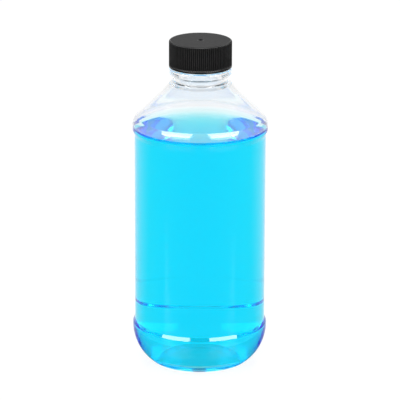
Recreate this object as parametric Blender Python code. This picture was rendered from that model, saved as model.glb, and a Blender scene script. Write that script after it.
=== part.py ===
"""A round clear plastic bottle of blue liquid, closed by a ribbed screw cap with a foam liner.

Everything is in metres with +Z up. The bottle stands on the plane Z = 0, the top of its cap is 140.6 mm
above that, and the Z axis is the axis of every turned piece and of the cap's screw. The bottle is one blown
wall: a finish that the cap screws on, a carrying bead, a short neck, a cone shoulder, a recessed panel
between two rings, a wide heel and a base that is pushed up inside its foot.
"""

import math

import bmesh
import bpy
from mathutils import Vector

MM = 0.001

# The finish, its bead and the neck. The finish is 21.4 mm across at the root of its thread, as on a 24 mm
# continuous-thread closure, and the threads of both pieces lie in the room between it and the cap.
FINISH_DIAMETER = 21.4 * MM
FINISH_WALL = 1.6 * MM
FINISH_HEIGHT = 9.4 * MM
THREAD_ROOM = 1.4 * MM
LIP_ROUND = 0.45 * MM
BEAD_REACH = 2.4 * MM
BEAD_LAND = 2.0 * MM
BEAD_TAPER = 1.4 * MM
BEAD_ROUND = 0.35 * MM
NECK_STEP = 0.9 * MM
NECK_HEIGHT = 2.3 * MM
NECK_FILLET = 0.9 * MM
BORE_LENGTH = 15.0 * MM
BORE_FILLET = 1.5 * MM
FLARE_DIAMETER = 24.6 * MM
FLARE_RADIUS = 1.5 * MM

# The cap.
CAP_WALL = 1.15 * MM
CAP_TOP = 1.0 * MM
CAP_LIFT = 0.65 * MM
CAP_EDGE_RADIUS = 0.7 * MM
CAP_LEAD_IN = 0.4 * MM
RIB_COUNT = 96
RIB_DEPTH = 0.32 * MM
RIB_RUN_OUT = 0.25 * MM
RIM_HEIGHT = 0.9 * MM
RIM_CHAMFER = 0.2 * MM
GATE_DIAMETER = 2.6 * MM
GATE_DEPTH = 0.45 * MM
GATE_FLOOR_SHARE = 0.5

# The foam disc between the cap and the lip.
LINER_THICKNESS = 0.8 * MM
LINER_CLEARANCE = 0.35 * MM
LINER_EDGE_RADIUS = 0.15 * MM
SEAT_GAP = 0.3 * MM

# The body, from the shoulder down to the base.
BODY_DIAMETER = 57.3 * MM
PANEL_RECESS = 0.85 * MM
SHOULDER_HEIGHT = 16.65 * MM
SHOULDER_RADIUS = 5.0 * MM
UPPER_RING_HEIGHT = 4.3 * MM
UPPER_RING_RADIUS = 0.7 * MM
UPPER_STEP_HEIGHT = 2.2 * MM
UPPER_STEP_RADIUS = 1.8 * MM
PANEL_HEIGHT = 82.05 * MM
LOWER_STEP_HEIGHT = 1.5 * MM
LOWER_STEP_RADIUS = 0.6 * MM
LOWER_RING_HEIGHT = 10.34 * MM
HEEL_HEIGHT = 6.06 * MM
HEEL_RADIUS = 19.3 * MM
FOOT_DIAMETER = 42.0 * MM
FOOT_WIDTH = 2.6 * MM
FOOT_RADIUS = 0.9 * MM
PUSH_UP_WALL = 2.4 * MM
PUSH_UP_RUN = 2.8 * MM
PUSH_UP_RISE = 2.0 * MM
PUSH_UP_RADIUS = 2.0 * MM
DOME_RADIUS = 34.0 * MM
DOME_FLAT_DIAMETER = 9.0 * MM

# Wall thicknesses of the blown body, which thins where it was stretched most.
SHOULDER_WALL = 1.0 * MM
SIDE_WALL = 0.6 * MM
HEEL_WALL = 0.8 * MM
BASE_WALL = 1.2 * MM

# The liquid stands this far below the lip, and just clear of the wall.
HEADSPACE = 36.2 * MM
LIQUID_GAP = 0.3 * MM

# How finely the round shapes are cut into flat ones.
BODY_SIDES = 60
SMALL_SIDES = 48
ARC_TOLERANCE = 0.08 * MM
EDGE_ARC_STEPS = 3
FILLET_LIMIT_SHARE = 0.98
CUT_OVERRUN = 1.0 * MM
MERGE_DISTANCE = 0.01 * MM
SHARP_ANGLE = math.radians(32)

# Heights above the table, each zone standing on the one below.
HEEL_CORNER_Z = HEEL_HEIGHT
LOWER_RING_Z = HEEL_CORNER_Z + LOWER_RING_HEIGHT
PANEL_BOTTOM_Z = LOWER_RING_Z + LOWER_STEP_HEIGHT
PANEL_TOP_Z = PANEL_BOTTOM_Z + PANEL_HEIGHT
UPPER_RING_Z = PANEL_TOP_Z + UPPER_STEP_HEIGHT
SHOULDER_Z = UPPER_RING_Z + UPPER_RING_HEIGHT
NECK_Z = SHOULDER_Z + SHOULDER_HEIGHT
BEAD_Z = NECK_Z + NECK_HEIGHT
BEAD_TOP_Z = BEAD_Z + BEAD_TAPER + BEAD_LAND
LIP_Z = BEAD_TOP_Z + FINISH_HEIGHT
LEVEL_Z = LIP_Z - HEADSPACE
LINER_Z = LIP_Z + SEAT_GAP
CAP_CEILING_Z = LINER_Z + LINER_THICKNESS + SEAT_GAP
CAP_TOP_Z = CAP_CEILING_Z + CAP_TOP
CAP_Z = BEAD_TOP_Z + CAP_LIFT

# Radii of the closure and the neck, each from the finish.
FINISH_R = FINISH_DIAMETER / 2
CAP_BORE_R = FINISH_R + THREAD_ROOM
CAP_R = CAP_BORE_R + CAP_WALL
BEAD_R = FINISH_R + BEAD_REACH
NECK_R = FINISH_R + NECK_STEP


def turn_between(before, corner, after):
    """The angle by which an outline turns at a corner, positive to the left."""
    along = corner - before
    onward = after - corner
    cross = along.x * onward.y - along.y * onward.x
    return math.atan2(cross, along.dot(onward))


def arc_steps(radius, angle):
    """How many flat steps keep this arc within its tolerance."""
    widest = 2 * math.acos(1 - min(1.0, ARC_TOLERANCE / radius))
    return max(1, math.ceil(angle / widest))


def rounded(corners):
    """The outline through (radius, height, fillet) corners, with each fillet as an arc.

    A fillet that its two straight runs can't hold together with their other fillets is drawn smaller.
    """
    points = [Vector(corner[:2]) for corner in corners]
    last = len(points) - 1
    turns = [0.0] * len(points)
    reach = [0.0] * len(points)
    for i in range(1, last):
        turns[i] = turn_between(points[i - 1], points[i], points[i + 1])
        reach[i] = corners[i][2] * math.tan(abs(turns[i]) / 2)
    runs = [(points[i + 1] - points[i]).length * FILLET_LIMIT_SHARE for i in range(last)]
    fits = [min(1.0, run / max(reach[i] + reach[i + 1], MERGE_DISTANCE)) for i, run in enumerate(runs)]
    outline = [points[0]]
    for i in range(1, last):
        tangent = reach[i] * min(fits[i - 1], fits[i])
        if tangent < MERGE_DISTANCE:
            outline.append(points[i])
            continue
        start = points[i] + (points[i - 1] - points[i]).normalized() * tangent
        end = points[i] + (points[i + 1] - points[i]).normalized() * tangent
        radius = tangent / math.tan(abs(turns[i]) / 2)
        steps = arc_steps(radius, abs(turns[i]))
        heading = (points[i] - points[i - 1]).normalized()
        side = Vector((-heading.y, heading.x)) * math.copysign(1, turns[i])
        centre = start + side * radius
        for step in range(steps):
            angle = abs(turns[i]) * step / steps
            outline.append(centre + (heading * math.sin(angle) - side * math.cos(angle)) * radius)
        outline.append(end)
    outline.append(points[last])
    return outline


def shifted(corners, distances):
    """The same outline moved to its right, run by run, with its fillets grown or shrunk to stay parallel.

    The first and last points keep to the ends of their runs.
    """
    points = [Vector(corner[:2]) for corner in corners]
    lines = []
    for i, distance in enumerate(distances):
        heading = (points[i + 1] - points[i]).normalized()
        lines.append((points[i] + Vector((heading.y, -heading.x)) * distance, heading))
    moved = [(lines[0][0].x, lines[0][0].y, 0.0)]
    for i in range(1, len(points) - 1):
        (origin_a, heading_a), (origin_b, heading_b) = lines[i - 1], lines[i]
        cross = heading_a.x * heading_b.y - heading_a.y * heading_b.x
        gap = origin_b - origin_a
        ahead = (gap.x * heading_b.y - gap.y * heading_b.x) / cross
        meeting = origin_a + heading_a * ahead
        grown = math.copysign(distances[i], turn_between(points[i - 1], points[i], points[i + 1]))
        moved.append((meeting.x, meeting.y, max(0.0, corners[i][2] + grown)))
    origin, heading = lines[-1]
    final = origin + heading * (points[-1] - origin).dot(heading)
    moved.append((final.x, final.y, 0.0))
    return moved


def body_corners():
    """The outside of the bottle below its neck, from the neck down to the middle of the base."""
    ring = BODY_DIAMETER / 2
    panel = ring - PANEL_RECESS
    foot = FOOT_DIAMETER / 2
    foot_inside = foot - FOOT_WIDTH
    push_up = foot_inside - PUSH_UP_RUN
    dome_z = PUSH_UP_WALL + PUSH_UP_RISE
    return [
        (NECK_R, NECK_Z, 0.0),
        (ring, SHOULDER_Z, SHOULDER_RADIUS),
        (ring, UPPER_RING_Z, UPPER_RING_RADIUS),
        (panel, PANEL_TOP_Z, UPPER_STEP_RADIUS),
        (panel, PANEL_BOTTOM_Z, LOWER_STEP_RADIUS),
        (ring, LOWER_RING_Z, LOWER_STEP_RADIUS),
        (ring, HEEL_CORNER_Z, HEEL_RADIUS),
        (foot, 0.0, FOOT_RADIUS),
        (foot_inside, 0.0, FOOT_RADIUS),
        (push_up, PUSH_UP_WALL, PUSH_UP_RADIUS),
        (DOME_FLAT_DIAMETER / 2, dome_z, DOME_RADIUS),
        (0.0, dome_z, 0.0),
    ]


def inside_corners():
    """The inside of the blown body, from under the neck down to the middle of the base."""
    sides = [SIDE_WALL] * 5
    base = [BASE_WALL] * 4
    return shifted(body_corners(), [SHOULDER_WALL] + sides + [HEEL_WALL] + base)


def crossing_height(corners, radius):
    """The height at which the first run of the corners, drawn on, has this radius."""
    (r0, z0, _), (r1, z1, _) = corners[:2]
    return z0 + (z1 - z0) * (radius - r0) / (r1 - r0)


def bottle_outline():
    """Up the inside from the middle of the base, over the lip and down the outside to the base again."""
    bore = FINISH_R - FINISH_WALL
    inside = inside_corners()
    flare = FLARE_DIAMETER / 2
    flare_end = (flare, crossing_height(inside, flare), FLARE_RADIUS)
    bore_end = (bore, LIP_Z - BORE_LENGTH, BORE_FILLET)
    finish = [
        (bore, LIP_Z, LIP_ROUND),
        (FINISH_R, LIP_Z, LIP_ROUND),
        (FINISH_R, BEAD_TOP_Z, BEAD_ROUND),
        (BEAD_R, BEAD_TOP_Z, BEAD_ROUND),
        (BEAD_R, BEAD_TOP_Z - BEAD_LAND, BEAD_ROUND),
        (NECK_R, BEAD_Z, BEAD_ROUND),
        (NECK_R, NECK_Z, NECK_FILLET),
    ]
    return rounded(inside[:0:-1] + [flare_end, bore_end] + finish + body_corners()[1:])


def liquid_outline():
    """From the middle of the surface out to the wall, down it and in to the middle of the base."""
    inside = inside_corners()
    wall = rounded(shifted(inside, [LIQUID_GAP] * (len(inside) - 1)))
    below = [i for i, point in enumerate(wall) if point.y < LEVEL_Z]
    under, over = wall[below[0]], wall[below[0] - 1]
    edge = over.lerp(under, (over.y - LEVEL_Z) / (over.y - under.y))
    return [Vector((0.0, LEVEL_Z)), edge] + wall[below[0]:]


def link(name, mesh):
    """A new object of this name in the scene."""
    shape = bpy.data.objects.new(name, mesh)
    bpy.context.scene.collection.objects.link(shape)
    return shape


def shade_round(shape):
    """Smooth shading, apart from the real corners."""
    shape.data.shade_smooth()
    shape.data.set_sharp_from_angle(angle=SHARP_ANGLE)


def turned(name, outline, height, sides):
    """An object turned round the Z axis from an outline, with its origin on the axis at a height."""
    mesh = bpy.data.meshes.new(name)
    points = [(point.x, 0.0, point.y - height) for point in outline]
    mesh.from_pydata(points, [(i, i + 1) for i in range(len(points) - 1)], [])
    shape = link(name, mesh)
    shape.location.z = height
    screw = shape.modifiers.new("turn", "SCREW")
    screw.steps = sides
    screw.render_steps = sides
    screw.use_smooth_shade = True
    screw.use_merge_vertices = True
    screw.merge_threshold = MERGE_DISTANCE
    return shape


def cutter(name, outline, height, sides):
    """A turned helper that only cuts."""
    helper = turned(name, outline, height, sides)
    helper.hide_render = True
    helper.display_type = "WIRE"
    return helper


def cut(shape, helper):
    """A lasting cut of the helper out of the shape."""
    boolean = shape.modifiers.new(helper.name, "BOOLEAN")
    boolean.object = helper
    boolean.operation = "DIFFERENCE"
    boolean.solver = "EXACT"


def cap_rings():
    """(height, crest radius, root radius) of each ring of the cap's outside, from the bottom up."""
    crest = CAP_R
    root = crest - RIB_DEPTH
    top = crest - CAP_EDGE_RADIUS
    height_in_all = CAP_TOP_Z - CAP_Z
    rings = [
        (0.0, crest - RIM_CHAMFER, crest - RIM_CHAMFER),
        (RIM_CHAMFER, crest, crest),
        (RIM_HEIGHT, crest, crest),
        (RIM_HEIGHT + RIB_RUN_OUT, crest, root),
    ]
    for step in range(EDGE_ARC_STEPS + 1):
        angle = math.pi / 2 * step / EDGE_ARC_STEPS
        height = height_in_all - CAP_EDGE_RADIUS * (1 - math.sin(angle))
        rings.append((height, top + (crest - top) * math.cos(angle), top + (root - top) * math.cos(angle)))
    return rings


def make_cap():
    """The ribbed shell: a ribbed blank, bored from below and dimpled where the plastic was let in."""
    blank = bmesh.new()
    columns = 2 * RIB_COUNT
    rows = []
    for height, crest, root in cap_rings():
        row = []
        for column in range(columns):
            angle = 2 * math.pi * column / columns
            radius = root if column % 2 else crest
            row.append(blank.verts.new((radius * math.cos(angle), radius * math.sin(angle), height)))
        rows.append(row)
    for lower, upper in zip(rows, rows[1:]):
        for column in range(columns):
            after = (column + 1) % columns
            blank.faces.new((lower[column], lower[after], upper[after], upper[column]))
    blank.faces.new(rows[0][::-1])
    blank.faces.new(rows[-1])
    mesh = bpy.data.meshes.new("cap")
    blank.to_mesh(mesh)
    blank.free()
    cap = link("cap", mesh)
    cap.location.z = CAP_Z

    lead_in = CAP_BORE_R + CAP_LEAD_IN
    below = CAP_Z - CUT_OVERRUN
    bore_outline = [
        Vector((0.0, CAP_CEILING_Z)),
        Vector((CAP_BORE_R, CAP_CEILING_Z)),
        Vector((CAP_BORE_R, CAP_Z + RIM_HEIGHT)),
        Vector((lead_in, CAP_Z)),
        Vector((lead_in, below)),
        Vector((0.0, below)),
    ]
    cut(cap, cutter("cap_bore_cutter", bore_outline, CAP_Z, SMALL_SIDES))
    above = CAP_TOP_Z + CUT_OVERRUN
    gate = GATE_DIAMETER / 2
    gate_outline = [
        Vector((0.0, above)),
        Vector((gate, above)),
        Vector((gate, CAP_TOP_Z)),
        Vector((gate * GATE_FLOOR_SHARE, CAP_TOP_Z - GATE_DEPTH)),
        Vector((0.0, CAP_TOP_Z - GATE_DEPTH)),
    ]
    cut(cap, cutter("cap_gate_cutter", gate_outline, CAP_TOP_Z, SMALL_SIDES // 2))
    shade_round(cap)
    return cap


def make_liner():
    """The foam disc, a little smaller than the cap's bore."""
    radius = CAP_BORE_R - LINER_CLEARANCE
    top = LINER_Z + LINER_THICKNESS
    corners = [
        (0.0, top, 0.0),
        (radius, top, LINER_EDGE_RADIUS),
        (radius, LINER_Z, LINER_EDGE_RADIUS),
        (0.0, LINER_Z, 0.0),
    ]
    return turned("cap_liner", rounded(corners), LINER_Z, SMALL_SIDES)


def finish_with(shape, colour, roughness, transmission=0.0, ior=1.5):
    """A material of its own, named after the piece."""
    material = bpy.data.materials.new(shape.name)
    material.use_nodes = True
    shader = material.node_tree.nodes["Principled BSDF"]
    shader.inputs["Base Color"].default_value = (*colour, 1.0)
    shader.inputs["Roughness"].default_value = roughness
    shader.inputs["Metallic"].default_value = 0.0
    shader.inputs["Transmission Weight"].default_value = transmission
    shader.inputs["IOR"].default_value = ior
    shape.data.materials.append(material)


for existing in list(bpy.data.objects):
    bpy.data.objects.remove(existing, do_unlink=True)

bottle = turned("bottle", bottle_outline(), 0.0, BODY_SIDES)
finish_with(bottle, colour=(0.86, 0.96, 0.99), roughness=0.04, transmission=1.0, ior=1.57)

liquid = turned("liquid", liquid_outline(), 0.0, SMALL_SIDES)
liquid.parent = bottle
finish_with(liquid, colour=(0.0, 0.69, 0.99), roughness=0.0, transmission=1.0, ior=1.33)

screw_axis = bpy.data.objects.new("screw_axis", None)
bpy.context.scene.collection.objects.link(screw_axis)
screw_axis.parent = bottle

liner = make_liner()
liner.parent = screw_axis
finish_with(liner, colour=(0.86, 0.86, 0.84), roughness=0.9)

cap = make_cap()
cap.parent = screw_axis
finish_with(cap, colour=(0.013, 0.013, 0.014), roughness=0.42)
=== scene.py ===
"""The looks of a round clear bottle of blue liquid under a black ribbed screw cap.

The wall, the liquid, the liner and the cap are turned from corner outlines like those of the solids that they
stand for, cut much finer. The finish and the cap's bore also carry the screw thread.

The wall is one mesh with two materials. Where the liquid wets its inside, the plastic has the refraction of
plastic against liquid, and the liquid's own skin there doesn't refract, so light bends there only once.
"""

import math

import bmesh
import bpy
import numpy as np
from mathutils import Matrix, Vector


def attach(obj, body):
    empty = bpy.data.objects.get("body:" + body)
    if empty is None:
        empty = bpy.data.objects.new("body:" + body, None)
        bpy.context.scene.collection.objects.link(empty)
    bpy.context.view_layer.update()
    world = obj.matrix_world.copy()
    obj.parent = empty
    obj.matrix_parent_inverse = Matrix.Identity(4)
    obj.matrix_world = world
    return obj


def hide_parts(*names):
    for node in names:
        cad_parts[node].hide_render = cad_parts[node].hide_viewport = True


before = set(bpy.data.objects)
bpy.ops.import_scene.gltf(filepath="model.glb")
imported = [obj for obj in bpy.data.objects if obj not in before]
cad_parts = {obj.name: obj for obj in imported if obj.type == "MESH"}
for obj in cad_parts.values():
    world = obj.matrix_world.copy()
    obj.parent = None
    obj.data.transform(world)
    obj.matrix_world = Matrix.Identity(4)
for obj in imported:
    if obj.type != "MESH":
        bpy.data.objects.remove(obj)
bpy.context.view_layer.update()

MM = 0.001

# The finish, bead and neck.
FINISH_R = 10.7 * MM
FINISH_WALL = 1.6 * MM
FINISH_HEIGHT = 9.4 * MM
LIP_ROUND = 0.45 * MM
BEAD_R = 13.1 * MM
BEAD_LAND = 2.6 * MM
BEAD_TAPER = 0.8 * MM
BEAD_ROUND = 0.5 * MM
NECK_R = 11.75 * MM
NECK_HEIGHT = 2.3 * MM
NECK_FILLET = 0.9 * MM

# The low ledge where the neck meets the cone, and the inside of the neck.
LEDGE_R = 12.6 * MM
LEDGE_DROP = 0.35 * MM
LEDGE_RADIUS = 0.3 * MM
LEDGE_FOOT_R = 15.8 * MM
LEDGE_FOOT_RADIUS = 2.0 * MM
BORE_LENGTH = 15.0 * MM
BORE_FILLET = 1.5 * MM
FLARE_R = 12.3 * MM
FLARE_RADIUS = 0.5 * MM

# The screw thread, right-handed, on the finish and in the cap.
PITCH = 3.175 * MM
THREAD_TURNS = 1.25
THREAD_START = 1.5 * MM
THREAD_FADE = math.radians(35)
NECK_THREAD_DEPTH = 1.1 * MM
NECK_THREAD_CREST = 0.8 * MM
NECK_THREAD_ROOT = 2.0 * MM
CAP_THREAD_DEPTH = 1.05 * MM
CAP_THREAD_CREST = 0.6 * MM
CAP_THREAD_ROOT = 1.6 * MM
THREAD_ROW = 0.12 * MM

# The cap.
CAP_R = 13.25 * MM
CAP_BORE_R = 12.1 * MM
CAP_TOP = 1.0 * MM
CAP_LIFT = 0.4 * MM
CAP_EDGE_RADIUS = 0.7 * MM
CAP_LEAD_IN = 0.4 * MM
RIB_COUNT = 96
RIB_DEPTH = 0.32 * MM
RIB_RUN_OUT = 0.25 * MM
RIB_GROOVE_POWER = 0.7
RIM_HEIGHT = 0.9 * MM
RIM_ROUND = 0.2 * MM
GATE_R = 1.3 * MM
GATE_FLOOR_R = 0.65 * MM
GATE_DEPTH = 0.4 * MM
GATE_FLOOR_ROUND = 0.3 * MM
GATE_EDGE_ROUND = 0.2 * MM
CAP_LEAD_IN_ROUND = 0.1 * MM
CAP_CEILING_ROUND = 0.3 * MM

# The liner.
LINER_THICKNESS = 0.8 * MM
LINER_CLEARANCE = 0.35 * MM
LINER_EDGE_RADIUS = 0.15 * MM
SEAT_GAP = 0.3 * MM

# The body, from the shoulder down to the base.
BODY_R = 28.65 * MM
PANEL_RECESS = 0.85 * MM
SHOULDER_HEIGHT = 16.65 * MM
SHOULDER_RADIUS = 5.0 * MM
UPPER_RING_HEIGHT = 4.3 * MM
UPPER_RING_RADIUS = 0.7 * MM
UPPER_STEP_HEIGHT = 2.2 * MM
UPPER_STEP_RADIUS = 1.8 * MM
PANEL_HEIGHT = 82.05 * MM
LOWER_STEP_HEIGHT = 1.5 * MM
LOWER_STEP_RADIUS = 0.6 * MM
LOWER_RING_HEIGHT = 10.34 * MM
HEEL_HEIGHT = 6.06 * MM
HEEL_RADIUS = 19.3 * MM
FOOT_R = 21.0 * MM
FOOT_WIDTH = 2.6 * MM
FOOT_RADIUS = 0.9 * MM
PUSH_UP_WALL = 2.4 * MM
PUSH_UP_RUN = 2.8 * MM
PUSH_UP_RISE = 2.0 * MM
PUSH_UP_RADIUS = 2.0 * MM
DOME_RADIUS = 34.0 * MM
DOME_FLAT_R = 4.5 * MM
SHOULDER_WALL = 1.0 * MM
SIDE_WALL = 0.6 * MM
HEEL_WALL = 0.8 * MM
BASE_WALL = 1.2 * MM

# The liquid, which wets the wall and climbs it a little at its edge.
HEADSPACE = 36.8 * MM
MENISCUS_RISE = 2.5 * MM
MENISCUS_REACH = 2.2 * MM
MENISCUS_ROWS = 14
MENISCUS_SPAN = 5 * MENISCUS_REACH
WET_OVERLAP = 0.04 * MM

# How finely the turned shapes are cut.
COLUMNS = 288
COLUMNS_PER_RIB = 8
ARC_TOLERANCE = 0.002 * MM
SUPPORT = 0.12 * MM
FILLET_LIMIT_SHARE = 0.98
SMALLEST = 0.005 * MM

# Heights above the table.
LOWER_RING_Z = HEEL_HEIGHT + LOWER_RING_HEIGHT
PANEL_BOTTOM_Z = LOWER_RING_Z + LOWER_STEP_HEIGHT
PANEL_TOP_Z = PANEL_BOTTOM_Z + PANEL_HEIGHT
UPPER_RING_Z = PANEL_TOP_Z + UPPER_STEP_HEIGHT
SHOULDER_Z = UPPER_RING_Z + UPPER_RING_HEIGHT
NECK_Z = SHOULDER_Z + SHOULDER_HEIGHT
BEAD_Z = NECK_Z + NECK_HEIGHT
BEAD_TOP_Z = BEAD_Z + BEAD_TAPER + BEAD_LAND
LIP_Z = BEAD_TOP_Z + FINISH_HEIGHT
LEVEL_Z = LIP_Z - HEADSPACE
LINER_Z = LIP_Z + SEAT_GAP
CAP_CEILING_Z = LINER_Z + LINER_THICKNESS + SEAT_GAP
CAP_TOP_Z = CAP_CEILING_Z + CAP_TOP
CAP_Z = BEAD_TOP_Z + CAP_LIFT


def turn_between(before, corner, after):
    """The angle by which an outline turns at a corner, positive to the left."""
    along = corner - before
    onward = after - corner
    return math.atan2(along.x * onward.y - along.y * onward.x, along.dot(onward))


def rounded(corners):
    """The outline through (radius, height, fillet) corners, each fillet a fine arc with a point just beyond
    either end of it, which keeps the shading of the straight runs straight."""
    points = [Vector(corner[:2]) for corner in corners]
    last = len(points) - 1
    turns = [0.0] * len(points)
    reach = [0.0] * len(points)
    for i in range(1, last):
        turns[i] = turn_between(points[i - 1], points[i], points[i + 1])
        reach[i] = corners[i][2] * math.tan(abs(turns[i]) / 2)
    runs = [(points[i + 1] - points[i]).length * FILLET_LIMIT_SHARE for i in range(last)]
    fits = [min(1.0, run / max(reach[i] + reach[i + 1], SMALLEST)) for i, run in enumerate(runs)]
    outline = [points[0]]
    for i in range(1, last):
        tangent = reach[i] * min(fits[i - 1], fits[i])
        if tangent < SMALLEST:
            outline.append(points[i])
            continue
        back = (points[i - 1] - points[i]).normalized()
        onward = (points[i + 1] - points[i]).normalized()
        radius = tangent / math.tan(abs(turns[i]) / 2)
        widest = 2 * math.acos(1 - min(1.0, ARC_TOLERANCE / radius))
        steps = max(2, math.ceil(abs(turns[i]) / widest))
        heading = -back
        side = Vector((-heading.y, heading.x)) * math.copysign(1, turns[i])
        centre = points[i] + back * tangent + side * radius
        if (outline[-1] - points[i]).length > tangent + 2 * SUPPORT:
            outline.append(points[i] + back * (tangent + SUPPORT))
        for step in range(steps + 1):
            angle = abs(turns[i]) * step / steps
            outline.append(centre + (heading * math.sin(angle) - side * math.cos(angle)) * radius)
        if runs[i] > tangent + reach[i + 1] + 2 * SUPPORT:
            outline.append(points[i] + onward * (tangent + SUPPORT))
    outline.append(points[last])
    return outline


def shifted(corners, distances):
    """The same outline moved to its right, run by run, with its fillets grown or shrunk to stay parallel."""
    points = [Vector(corner[:2]) for corner in corners]
    lines = []
    for i, distance in enumerate(distances):
        heading = (points[i + 1] - points[i]).normalized()
        lines.append((points[i] + Vector((heading.y, -heading.x)) * distance, heading))
    moved = [(lines[0][0].x, lines[0][0].y, 0.0)]
    for i in range(1, len(points) - 1):
        (origin_a, heading_a), (origin_b, heading_b) = lines[i - 1], lines[i]
        cross = heading_a.x * heading_b.y - heading_a.y * heading_b.x
        gap = origin_b - origin_a
        ahead = (gap.x * heading_b.y - gap.y * heading_b.x) / cross
        meeting = origin_a + heading_a * ahead
        turn = turn_between(points[i - 1], points[i], points[i + 1])
        grown = math.copysign(1, turn) * distances[i]
        moved.append((meeting.x, meeting.y, max(0.0, corners[i][2] + grown)))
    origin, heading = lines[-1]
    final = origin + heading * (points[-1] - origin).dot(heading)
    moved.append((final.x, final.y, 0.0))
    return moved


def body_corners():
    """The outside of the bottle below its neck, from the neck down to the middle of the base."""
    panel = BODY_R - PANEL_RECESS
    foot_inside = FOOT_R - FOOT_WIDTH
    dome_z = PUSH_UP_WALL + PUSH_UP_RISE
    return [
        (NECK_R, NECK_Z, 0.0),
        (BODY_R, SHOULDER_Z, SHOULDER_RADIUS),
        (BODY_R, UPPER_RING_Z, UPPER_RING_RADIUS),
        (panel, PANEL_TOP_Z, UPPER_STEP_RADIUS),
        (panel, PANEL_BOTTOM_Z, LOWER_STEP_RADIUS),
        (BODY_R, LOWER_RING_Z, LOWER_STEP_RADIUS),
        (BODY_R, HEEL_HEIGHT, HEEL_RADIUS),
        (FOOT_R, 0.0, FOOT_RADIUS),
        (foot_inside, 0.0, FOOT_RADIUS),
        (foot_inside - PUSH_UP_RUN, PUSH_UP_WALL, PUSH_UP_RADIUS),
        (DOME_FLAT_R, dome_z, DOME_RADIUS),
        (0.0, dome_z, 0.0),
    ]


def inside_corners():
    """The inside of the blown body, from under the neck down to the middle of the base."""
    walls = [SHOULDER_WALL] + [SIDE_WALL] * 5 + [HEEL_WALL] + [BASE_WALL] * 4
    return shifted(body_corners(), walls)


def crossing_height(corners, radius):
    """The height at which the first run of the corners, drawn on, has this radius."""
    (r0, z0, _), (r1, z1, _) = corners[:2]
    return z0 + (z1 - z0) * (radius - r0) / (r1 - r0)


def filled_in(outline, low, high, radius, spacing):
    """The outline with extra points on its upright run at this radius between two heights."""
    result = [outline[0]]
    for before, after in zip(outline, outline[1:]):
        upright = abs(before.x - radius) < SMALLEST and abs(after.x - radius) < SMALLEST
        if upright and min(before.y, after.y) < high and max(before.y, after.y) > low:
            count = math.ceil((after - before).length / spacing)
            result += [before.lerp(after, i / count) for i in range(1, count)]
        result.append(after)
    return result


def cut_at_height(outline, height):
    """The outline with a point wherever it crosses this height."""
    result = [outline[0]]
    for before, after in zip(outline, outline[1:]):
        if (before.y - height) * (after.y - height) < 0:
            result.append(before.lerp(after, (before.y - height) / (before.y - after.y)))
        result.append(after)
    return result


def thread_height(z, angle, middle, crest, root, depth):
    """How far a one-start right-handed thread stands out at these heights and angles. Its middle line passes
    through the height middle at angle zero and climbs a pitch each turn."""
    tallest = np.zeros(np.broadcast(z, angle).shape)
    for turn in range(-1, math.ceil(THREAD_TURNS) + 1):
        along = angle + 2 * math.pi * turn
        away = np.abs(z - middle - PITCH * along / (2 * math.pi))
        flank = np.clip((root / 2 - away) / (root / 2 - crest / 2), 0, 1)
        flank = flank * flank * (3 - 2 * flank)
        ends = np.clip(along / THREAD_FADE, 0, 1) * np.clip(
            (THREAD_TURNS * 2 * math.pi - along) / THREAD_FADE, 0, 1
        )
        tallest = np.maximum(tallest, flank * depth * np.sin(ends * math.pi / 2))
    return tallest


def turned(name, outline, body, change=None, columns=COLUMNS):
    """A piece turned round the Z axis from an outline that starts and ends on it.

    change(radius, height, angle) may give new radii and heights for the grid of points.
    """
    radius = np.array([point.x for point in outline])[:, None]
    height = np.array([point.y for point in outline])[:, None]
    angle = (np.arange(columns) * 2 * math.pi / columns)[None, :]
    r = np.broadcast_to(radius, (len(outline), columns)).copy()
    z = np.broadcast_to(height, (len(outline), columns)).copy()
    if change:
        r, z = change(r, z, angle)
    on_axis = radius[:, 0] < SMALLEST
    mesh = bmesh.new()
    rings = []
    for row in range(len(outline)):
        if on_axis[row]:
            rings.append([mesh.verts.new((0.0, 0.0, z[row, 0]))] * columns)
            continue
        x, y = r[row] * np.cos(angle[0]), r[row] * np.sin(angle[0])
        rings.append([mesh.verts.new(point) for point in zip(x, y, z[row])])
    for above, below in zip(rings, rings[1:]):
        for column in range(columns):
            after = (column + 1) % columns
            corners = [above[column], below[column], below[after], above[after]]
            unique = [v for i, v in enumerate(corners) if v not in corners[:i]]
            if len(unique) > 2:
                face = mesh.faces.new(unique)
                face.smooth = True
    data = bpy.data.meshes.new(name)
    mesh.to_mesh(data)
    mesh.free()
    piece = bpy.data.objects.new(name, data)
    bpy.context.scene.collection.objects.link(piece)
    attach(piece, body)
    return piece


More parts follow.
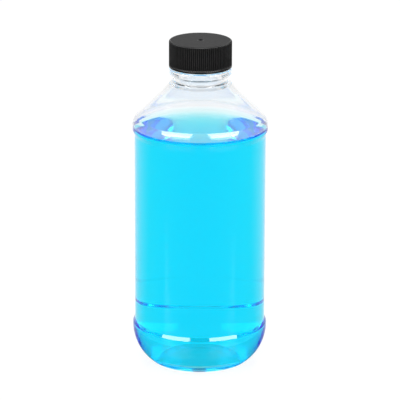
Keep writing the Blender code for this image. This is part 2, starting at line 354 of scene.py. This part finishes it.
def make_bottle():
    """The blown wall, with the thread on its finish. Its inside is marked where the liquid wets it."""
    bore = FINISH_R - FINISH_WALL
    inside = inside_corners()
    flare_end = (FLARE_R, crossing_height(inside, FLARE_R), FLARE_RADIUS)
    bore_end = (bore, LIP_Z - BORE_LENGTH, BORE_FILLET)
    finish = [
        (bore, LIP_Z, LIP_ROUND),
        (FINISH_R, LIP_Z, LIP_ROUND),
        (FINISH_R, BEAD_TOP_Z, BEAD_ROUND),
        (BEAD_R, BEAD_TOP_Z, BEAD_ROUND),
        (BEAD_R, BEAD_TOP_Z - BEAD_LAND, BEAD_ROUND),
        (NECK_R, BEAD_Z, BEAD_ROUND),
        (NECK_R, NECK_Z, NECK_FILLET),
        (LEDGE_R, NECK_Z - LEDGE_DROP, LEDGE_RADIUS),
        (LEDGE_FOOT_R, crossing_height(body_corners(), LEDGE_FOOT_R), LEDGE_FOOT_RADIUS),
    ]
    outline = rounded(inside[:0:-1] + [flare_end, bore_end] + finish + body_corners()[1:])
    thread_low = LIP_Z - THREAD_START - PITCH * THREAD_TURNS - NECK_THREAD_ROOT
    outline = filled_in(outline, thread_low, LIP_Z, FINISH_R, THREAD_ROW)
    contact_z = LEVEL_Z + MENISCUS_RISE
    outline = cut_at_height(outline, contact_z)
    thread_middle = LIP_Z - THREAD_START - PITCH * THREAD_TURNS

    def add_thread(r, z, angle):
        on_finish = (np.abs(r - FINISH_R) < SMALLEST) & (z > BEAD_TOP_Z)
        height = thread_height(
            z, angle, thread_middle, NECK_THREAD_CREST, NECK_THREAD_ROOT, NECK_THREAD_DEPTH
        )
        return r + np.where(on_finish, height, 0.0), z

    bottle = turned("bottle_wall", outline, "bottle_body", add_thread)
    lip = max(range(len(outline)), key=lambda i: outline[i].y)
    wet_rows = [i for i in range(lip) if max(outline[i].y, outline[i + 1].y) < contact_z + SMALLEST]
    for row in wet_rows:
        first = row * COLUMNS
        for face in bottle.data.polygons[first:first + COLUMNS]:
            face.material_index = 1
    return bottle


def make_liquid():
    """The liquid: a level surface with a meniscus, and a skin that lies just inside the plastic. Its faces
    carry on_wall, 1 on the skin and 0 on the surface."""
    inside = inside_corners()
    contact_z = LEVEL_Z + MENISCUS_RISE
    wall = rounded(shifted(inside, [-WET_OVERLAP] * (len(inside) - 1)))
    wall = cut_at_height(wall, contact_z)
    wall = [point for point in wall if point.y < contact_z + SMALLEST]
    edge = wall[0].x
    surface = [Vector((0.0, LEVEL_Z))]
    for row in range(MENISCUS_ROWS):
        in_from_wall = MENISCUS_SPAN * (1 - row / MENISCUS_ROWS) ** 2
        rise = MENISCUS_RISE * math.exp(-in_from_wall / MENISCUS_REACH)
        surface.append(Vector((edge - in_from_wall, LEVEL_Z + rise)))
    liquid = turned("liquid_body", surface + wall, "bottle_body")
    on_wall = liquid.data.attributes.new("on_wall", "FLOAT", "FACE")
    surface_faces = len(surface) * COLUMNS
    values = np.ones(len(liquid.data.polygons), np.float32)
    values[:surface_faces] = 0.0
    on_wall.data.foreach_set("value", values)
    return liquid


# How matt the cap is. The crests of the ribs are more so than their grooves, the more so the higher up.
RIM_MATT = 0.22
CREST_MATT = 1.25
CREST_POWER = 2
RIB_FOOT_SHARE = 0.35
TOP_MATT = 0.58


def add_mattness(cap):
    """Write the cap's mattness on its points: 0 is glossy, and 1 or more is fully matt."""
    where = np.empty(len(cap.data.vertices) * 3, np.float32)
    cap.data.vertices.foreach_get("co", where)
    x, y, z = where.reshape(-1, 3).T
    r = np.hypot(x, y)
    height = z + CAP_Z - z.min()
    ribs_z = CAP_Z + RIM_HEIGHT
    on_side = r > CAP_R - RIB_DEPTH - SMALLEST
    on_ribs = height > ribs_z - SMALLEST
    on_top = (height > CAP_TOP_Z - SMALLEST) & (r > GATE_R - SMALLEST)
    crest = (0.5 + 0.5 * np.cos(np.arctan2(y, x) * RIB_COUNT)) ** CREST_POWER
    up = np.clip((height - ribs_z) / (CAP_TOP_Z - ribs_z), 0, 1)
    share = (RIB_FOOT_SHARE + (1 - RIB_FOOT_SHARE) * up) * on_ribs
    side = RIM_MATT + (crest * CREST_MATT - RIM_MATT) * share
    matt = np.where(on_side, side, np.where(on_top, TOP_MATT, 0.0))
    mattness = cap.data.attributes.new("mattness", "FLOAT", "POINT")
    mattness.data.foreach_set("value", matt.astype(np.float32))


def make_cap():
    """The ribbed shell with its rim, gate dimple and inner thread."""
    ribs_z = CAP_Z + RIM_HEIGHT
    corners = [
        (0.0, CAP_TOP_Z - GATE_DEPTH, 0.0),
        (GATE_FLOOR_R, CAP_TOP_Z - GATE_DEPTH, GATE_FLOOR_ROUND),
        (GATE_R, CAP_TOP_Z, GATE_EDGE_ROUND),
        (CAP_R, CAP_TOP_Z, CAP_EDGE_RADIUS),
        (CAP_R, CAP_TOP_Z - CAP_EDGE_RADIUS - SUPPORT, 0.0),
        (CAP_R, ribs_z + RIB_RUN_OUT + SUPPORT, 0.0),
        (CAP_R, ribs_z + RIB_RUN_OUT, 0.0),
        (CAP_R, ribs_z, 0.0),
        (CAP_R, CAP_Z, RIM_ROUND),
        (CAP_BORE_R + CAP_LEAD_IN, CAP_Z, RIM_ROUND),
        (CAP_BORE_R, ribs_z, CAP_LEAD_IN_ROUND),
        (CAP_BORE_R, CAP_CEILING_Z, CAP_CEILING_ROUND),
        (0.0, CAP_CEILING_Z, 0.0),
    ]
    outline = filled_in(rounded(corners), ribs_z, CAP_CEILING_Z, CAP_BORE_R, THREAD_ROW)
    thread_middle = LIP_Z - THREAD_START - PITCH * (THREAD_TURNS + 0.5)

    def add_ribs_and_thread(r, z, angle):
        groove = RIB_DEPTH * (0.5 - 0.5 * np.cos(angle * RIB_COUNT)) ** RIB_GROOVE_POWER
        up = np.clip((z - ribs_z) / RIB_RUN_OUT, 0, 1)
        outside = (r > CAP_R - CAP_EDGE_RADIUS) & (z > ribs_z)
        near_edge = np.clip((r - CAP_R + CAP_EDGE_RADIUS) / CAP_EDGE_RADIUS, 0, 1)
        bore = (np.abs(r - CAP_BORE_R) < SMALLEST) & (z > ribs_z)
        height = thread_height(z, angle, thread_middle, CAP_THREAD_CREST, CAP_THREAD_ROOT, CAP_THREAD_DEPTH)
        r = r - np.where(outside, groove * up * near_edge, 0.0)
        return r - np.where(bore, height, 0.0), z

    cap = turned("cap_shell", outline, "cap_body", add_ribs_and_thread, columns=RIB_COUNT * COLUMNS_PER_RIB)
    add_mattness(cap)
    return cap


def make_liner():
    """The foam disc."""
    radius = CAP_BORE_R - LINER_CLEARANCE
    top = LINER_Z + LINER_THICKNESS
    corners = [
        (0.0, top, 0.0),
        (radius, top, LINER_EDGE_RADIUS),
        (radius, LINER_Z, LINER_EDGE_RADIUS),
        (0.0, LINER_Z, 0.0),
    ]
    return turned("cap_liner_disc", rounded(corners), "liner_body")


def new_material(name):
    """(material, nodes, links, its Principled shader)."""
    material = bpy.data.materials.new(name)
    material.use_nodes = True
    nodes = material.node_tree.nodes
    return material, nodes, material.node_tree.links, nodes["Principled BSDF"]


def add_texture(nodes, links, kind, scale):
    """A texture node in the object's own coordinates."""
    where = nodes.new("ShaderNodeTexCoord")
    texture = nodes.new(kind)
    texture.inputs["Scale"].default_value = scale
    links.new(where.outputs["Object"], texture.inputs["Vector"])
    return texture


def add_noise(nodes, links, scale, detail):
    """A noise texture in the object's own coordinates."""
    noise = add_texture(nodes, links, "ShaderNodeTexNoise", scale)
    noise.inputs["Detail"].default_value = detail
    return noise


def spread(nodes, links, value, low, high, start=0.0, end=1.0):
    """The value laid out between low and high as it goes from start to end."""
    span = nodes.new("ShaderNodeMapRange")
    span.inputs["From Min"].default_value = start
    span.inputs["From Max"].default_value = end
    span.inputs["To Min"].default_value = low
    span.inputs["To Max"].default_value = high
    links.new(value, span.inputs["Value"])
    return span.outputs["Result"]


def calculate(nodes, links, operation, first, second):
    """The result of one operation on an output and on another output or a number."""
    node = nodes.new("ShaderNodeMath")
    node.operation = operation
    links.new(first, node.inputs[0])
    if isinstance(second, float):
        node.inputs[1].default_value = second
    else:
        links.new(second, node.inputs[1])
    return node.outputs[0]


def add_bump(nodes, links, shader, height, distance, strength):
    """Fine relief on the shader."""
    bump = nodes.new("ShaderNodeBump")
    bump.inputs["Strength"].default_value = strength
    bump.inputs["Distance"].default_value = distance
    links.new(height, bump.inputs["Height"])
    links.new(bump.outputs["Normal"], shader.inputs["Normal"])


# The bottle's plastic and the liquid. Scales are per metre, and what the liquid absorbs is too.
PLASTIC_IOR = 1.57
PLASTIC_TINT = 0.97
WAVE_SCALE = 70.0
WAVE_DETAIL = 1.0
WAVE_RELIEF = 0.05 * MM
WAVE_STRENGTH = 0.5
LIQUID_IOR = 1.327
LIQUID_ABSORBS_RED = 120.0
LIQUID_ABSORBS_GREEN = 6.5
LIQUID_ABSORBS_BLUE = 0.4

# The cap's plastic.
BLACK = (0.01, 0.01, 0.0105, 1.0)
BLACK_SPECULAR = 0.35
GRAIN_SCALE = 900.0
GRAIN_DETAIL = 4.0
GRAIN_RELIEF = 0.02 * MM
GRAIN_STRENGTH = 0.5
GRAIN_ROUGHNESS = (0.08, 0.22)
CAP_ROUGHNESS = 0.75

# The liner's foam.
FOAM_DARK = (0.72, 0.72, 0.7, 1.0)
FOAM_LIGHT = (0.88, 0.88, 0.86, 1.0)
FOAM_ROUGHNESS = 0.9
CELL_SCALE = 2500.0
CELL_RELIEF = 0.05 * MM
CELL_STRENGTH = 0.6


def clear_plastic(name, ior, tint):
    """Glossy plastic with the faint waves of a blown wall."""
    material, nodes, links, shader = new_material(name)
    shader.inputs["Base Color"].default_value = (tint, tint, tint, 1.0)
    shader.inputs["Transmission Weight"].default_value = 1.0
    shader.inputs["IOR"].default_value = ior
    shader.inputs["Roughness"].default_value = 0.0
    waves = add_noise(nodes, links, WAVE_SCALE, WAVE_DETAIL)
    add_bump(nodes, links, shader, waves.outputs["Fac"], WAVE_RELIEF, WAVE_STRENGTH)
    return material


def blue_liquid():
    """Liquid that takes out red within a few centimetres, and far less green and blue. Volume Absorption
    takes the strongest of these as its density, and the others as shares of it."""
    material, nodes, links, shader = new_material("blue_liquid")
    shader.inputs["Base Color"].default_value = (1.0, 1.0, 1.0, 1.0)
    shader.inputs["Roughness"].default_value = 0.0
    shader.inputs["Transmission Weight"].default_value = 1.0
    on_wall = nodes.new("ShaderNodeAttribute")
    on_wall.attribute_name = "on_wall"
    links.new(spread(nodes, links, on_wall.outputs["Fac"], LIQUID_IOR, 1.0), shader.inputs["IOR"])
    absorption = nodes.new("ShaderNodeVolumeAbsorption")
    green = 1 - LIQUID_ABSORBS_GREEN / LIQUID_ABSORBS_RED
    blue = 1 - LIQUID_ABSORBS_BLUE / LIQUID_ABSORBS_RED
    absorption.inputs["Color"].default_value = (0.0, green, blue, 1.0)
    absorption.inputs["Density"].default_value = LIQUID_ABSORBS_RED
    links.new(absorption.outputs["Volume"], nodes["Material Output"].inputs["Volume"])
    return material


def black_plastic():
    """Satin moulded plastic with a fine grain."""
    material, nodes, links, shader = new_material("black_plastic")
    shader.inputs["Base Color"].default_value = BLACK
    shader.inputs["Specular IOR Level"].default_value = BLACK_SPECULAR
    grain = add_noise(nodes, links, GRAIN_SCALE, GRAIN_DETAIL)
    mattness = nodes.new("ShaderNodeAttribute")
    mattness.attribute_name = "mattness"
    moulded = spread(nodes, links, mattness.outputs["Fac"], 0.0, CAP_ROUGHNESS)
    grained = spread(nodes, links, grain.outputs["Fac"], *GRAIN_ROUGHNESS)
    links.new(calculate(nodes, links, "ADD", moulded, grained), shader.inputs["Roughness"])
    add_bump(nodes, links, shader, grain.outputs["Fac"], GRAIN_RELIEF, GRAIN_STRENGTH)
    return material


def white_foam():
    """Closed-cell foam."""
    material, nodes, links, shader = new_material("liner_foam")
    shader.inputs["Roughness"].default_value = FOAM_ROUGHNESS
    cells = add_texture(nodes, links, "ShaderNodeTexVoronoi", CELL_SCALE)
    ramp = nodes.new("ShaderNodeValToRGB")
    ramp.color_ramp.elements[0].color = FOAM_DARK
    ramp.color_ramp.elements[1].color = FOAM_LIGHT
    links.new(cells.outputs["Distance"], ramp.inputs["Fac"])
    links.new(ramp.outputs["Color"], shader.inputs["Base Color"])
    add_bump(nodes, links, shader, cells.outputs["Distance"], CELL_RELIEF, CELL_STRENGTH)
    return material


bottle = make_bottle()
bottle.data.materials.append(clear_plastic("clear_plastic", PLASTIC_IOR, PLASTIC_TINT))
bottle.data.materials.append(clear_plastic("wetted_plastic", PLASTIC_IOR / LIQUID_IOR, 1.0))
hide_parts("bottle")

liquid = make_liquid()
liquid.data.materials.append(blue_liquid())
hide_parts("liquid")

cap = make_cap()
cap.data.materials.append(black_plastic())
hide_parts("cap")

liner = make_liner()
liner.data.materials.append(white_foam())
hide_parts("cap_liner")

# The camera, fitted to the photograph.
CAMERA_TARGET = Vector((0.0, 0.0, 70.3 * MM))
CAMERA_DISTANCE = 1258.4 * MM
CAMERA_ELEVATION = math.radians(17.52)
CAMERA_ROLL = math.radians(0.19)
CAMERA_LENS = 265.8
CAMERA_SENSOR = 36.0

camera = bpy.data.objects.new("camera", bpy.data.cameras.new("camera"))
bpy.context.scene.collection.objects.link(camera)
camera.data.lens = CAMERA_LENS
camera.data.sensor_width = CAMERA_SENSOR
away = Vector((0.0, -math.cos(CAMERA_ELEVATION), math.sin(CAMERA_ELEVATION)))
camera.matrix_world = (
    Matrix.Translation(CAMERA_TARGET + away * CAMERA_DISTANCE)
    @ Matrix.Rotation(math.pi / 2 - CAMERA_ELEVATION, 4, "X")
    @ Matrix.Rotation(CAMERA_ROLL, 4, "Z")
)
bpy.context.scene.camera = camera

# The surroundings are white to the camera. Gloss and glass see them white too, behind the bottle and at its
# sides. In front of it they are dark in gloss and a little dimmer in glass, as in a studio whose lamps light
# the backdrop and the table.
DIM = 0.04
DIM_IN_GLASS = 0.6
FLOOR_DIM_IN_GLASS = 0.9
REFLECTED_FROM, REFLECTED_TO = 0.1, 1.0
REFRACTED_FROM, REFRACTED_TO = -0.5, 0.0


def surroundings(nodes, links, away, away_in_glass, dim_in_glass, brightest):
    """(what the camera, what glass and gloss see) of surroundings that lie this far away from the camera's
    side, from -1 in front of the bottle to 1 behind it."""
    path = nodes.new("ShaderNodeLightPath")
    reflected = spread(nodes, links, away, DIM, brightest, REFLECTED_FROM, REFLECTED_TO)
    refracted = spread(nodes, links, away_in_glass, dim_in_glass, brightest, REFRACTED_FROM, REFRACTED_TO)
    in_gloss = calculate(nodes, links, "MULTIPLY", reflected, path.outputs["Is Glossy Ray"])
    in_glass = calculate(nodes, links, "MULTIPLY", refracted, path.outputs["Is Transmission Ray"])
    return path.outputs["Is Camera Ray"], calculate(nodes, links, "MAXIMUM", in_gloss, in_glass)


# The floor. It glows almost white, and keeps the bottle's shadow and a faint reflection of the softboxes.
FLOOR_R = 1.0
FLOOR_SIDES = 96
FLOOR_DEPTH = 0.05 * MM
FLOOR_GLOW = 0.94
FLOOR_IN_GLASS = 1.07
FLOOR_COLOUR = 0.1
FLOOR_GLOSS = 0.035
FLOOR_ROUGHNESS = 0.12
bpy.ops.mesh.primitive_circle_add(
    vertices=FLOOR_SIDES, radius=FLOOR_R, fill_type="NGON", location=(0, 0, -FLOOR_DEPTH)
)
floor = bpy.context.object
floor.name = "floor"
material, nodes, links, shader = new_material("floor")
nodes.remove(shader)
where = nodes.new("ShaderNodeTexCoord")
heading = nodes.new("ShaderNodeVectorMath")
heading.operation = "NORMALIZE"
links.new(where.outputs["Object"], heading.inputs[0])
split = nodes.new("ShaderNodeSeparateXYZ")
links.new(heading.outputs[0], split.inputs[0])
away = split.outputs["Y"]
camera_sees, others_see = surroundings(nodes, links, away, away, FLOOR_DIM_IN_GLASS, FLOOR_IN_GLASS)
glow = nodes.new("ShaderNodeEmission")
glow.inputs["Color"].default_value = (FLOOR_GLOW, FLOOR_GLOW, FLOOR_GLOW, 1.0)
links.new(calculate(nodes, links, "MAXIMUM", camera_sees, others_see), glow.inputs["Strength"])
matt = nodes.new("ShaderNodeBsdfDiffuse")
matt.inputs["Color"].default_value = (FLOOR_COLOUR, FLOOR_COLOUR, FLOOR_COLOUR, 1.0)
gloss = nodes.new("ShaderNodeBsdfGlossy")
gloss.inputs["Color"].default_value = (FLOOR_GLOSS, FLOOR_GLOSS, FLOOR_GLOSS, 1.0)
gloss.inputs["Roughness"].default_value = FLOOR_ROUGHNESS
surface = glow.outputs[0]
for part in (matt, gloss):
    added = nodes.new("ShaderNodeAddShader")
    links.new(surface, added.inputs[0])
    links.new(part.outputs[0], added.inputs[1])
    surface = added.outputs[0]
links.new(surface, nodes["Material Output"].inputs["Surface"])
floor.data.materials.append(material)

# The world, which fades a little towards the ceiling. Directions are given by their height, from 0 at the
# horizon to 1 overhead. In glass the dim front starts above the horizon, so that the bottle is bright from
# behind too.
WORLD_HIGH = 0.9
WORLD_FADED_BY = 0.3
DIM_FRONT_BY = 0.2
world = bpy.data.worlds.new("studio")
bpy.context.scene.world = world
world.use_nodes = True
nodes, links = world.node_tree.nodes, world.node_tree.links
background = nodes["Background"]
where = nodes.new("ShaderNodeTexCoord")
split = nodes.new("ShaderNodeSeparateXYZ")
links.new(where.outputs["Generated"], split.inputs[0])
away, up = split.outputs["Y"], split.outputs["Z"]
low = spread(nodes, links, up, 1.0, 0.0, 0.0, DIM_FRONT_BY)
away_in_glass = calculate(nodes, links, "ADD", away, low)
camera_sees, others_see = surroundings(nodes, links, away, away_in_glass, DIM_IN_GLASS, 1.0)
fade = spread(nodes, links, up, 1.0, WORLD_HIGH, 0.0, WORLD_FADED_BY)
faded = calculate(nodes, links, "MULTIPLY", others_see, fade)
level = calculate(nodes, links, "MAXIMUM", camera_sees, faded)
links.new(calculate(nodes, links, "MAXIMUM", level, DIM), background.inputs["Strength"])
background.inputs["Color"].default_value = (1, 1, 1, 1)

# Two softboxes in front, to the left and the right, each aimed at the bottle. Each is two lamps, one close
# behind the other. Glass sees only the front one, so a softbox is dimmer through the wall than in its gloss.
SOFTBOX_WIDTH = 1.0
SOFTBOX_HEIGHT = 0.9
SOFTBOX_DISTANCE = 1.2
SOFTBOX_ELEVATION = math.radians(38.2)
SOFTBOX_AZIMUTHS = {"left": math.radians(-47.4), "right": math.radians(47.8)}
SOFTBOX_ROLL = math.radians(17)
SOFTBOX_SPACING = 0.01
SOFTBOX_RADIANCE = {"front": 4.5, "back": 5.0}
for side, azimuth in SOFTBOX_AZIMUTHS.items():
    direction = Vector((
        math.sin(azimuth) * math.cos(SOFTBOX_ELEVATION),
        -math.cos(azimuth) * math.cos(SOFTBOX_ELEVATION),
        math.sin(SOFTBOX_ELEVATION),
    ))
    roll = math.copysign(SOFTBOX_ROLL, azimuth)
    for layer, (part, radiance) in enumerate(SOFTBOX_RADIANCE.items()):
        lamp = bpy.data.lights.new(f"softbox_{side}_{part}", "AREA")
        lamp.shape = "RECTANGLE"
        lamp.size = SOFTBOX_WIDTH
        lamp.size_y = SOFTBOX_HEIGHT
        lamp.energy = radiance * math.pi * SOFTBOX_WIDTH * SOFTBOX_HEIGHT
        box = bpy.data.objects.new(lamp.name, lamp)
        bpy.context.scene.collection.objects.link(box)
        box.matrix_world = (
            Matrix.Translation(CAMERA_TARGET + direction * (SOFTBOX_DISTANCE + layer * SOFTBOX_SPACING))
            @ direction.to_track_quat("Z", "Y").to_matrix().to_4x4()
            @ Matrix.Rotation(-roll, 4, "Z")
        )
        box.visible_diffuse = False
        box.visible_transmission = part == "front"

# A plain fill light overhead, which gives the floor its shadow.
FILL_PLACE = Vector((0.0, -0.3, 1.6))
FILL_SIZE = 1.0
FILL_ENERGY = 20.0
fill = bpy.data.lights.new("fill", "AREA")
fill.shape = "SQUARE"
fill.size = FILL_SIZE
fill.energy = FILL_ENERGY
box = bpy.data.objects.new("fill", fill)
bpy.context.scene.collection.objects.link(box)
box.location = FILL_PLACE
box.rotation_euler = FILL_PLACE.to_track_quat("Z", "Y").to_euler()
box.visible_glossy = False
box.visible_transmission = False

# Light crosses many faces in the wall, the thread and the liquid before it leaves them.
LIGHT_BOUNCES = 200
TRANSPARENT_BOUNCES = 16
scene = bpy.context.scene
scene.view_settings.view_transform = "Standard"
scene.cycles.max_bounces = LIGHT_BOUNCES
scene.cycles.transmission_bounces = LIGHT_BOUNCES
scene.cycles.glossy_bounces = LIGHT_BOUNCES
scene.cycles.transparent_max_bounces = TRANSPARENT_BOUNCES
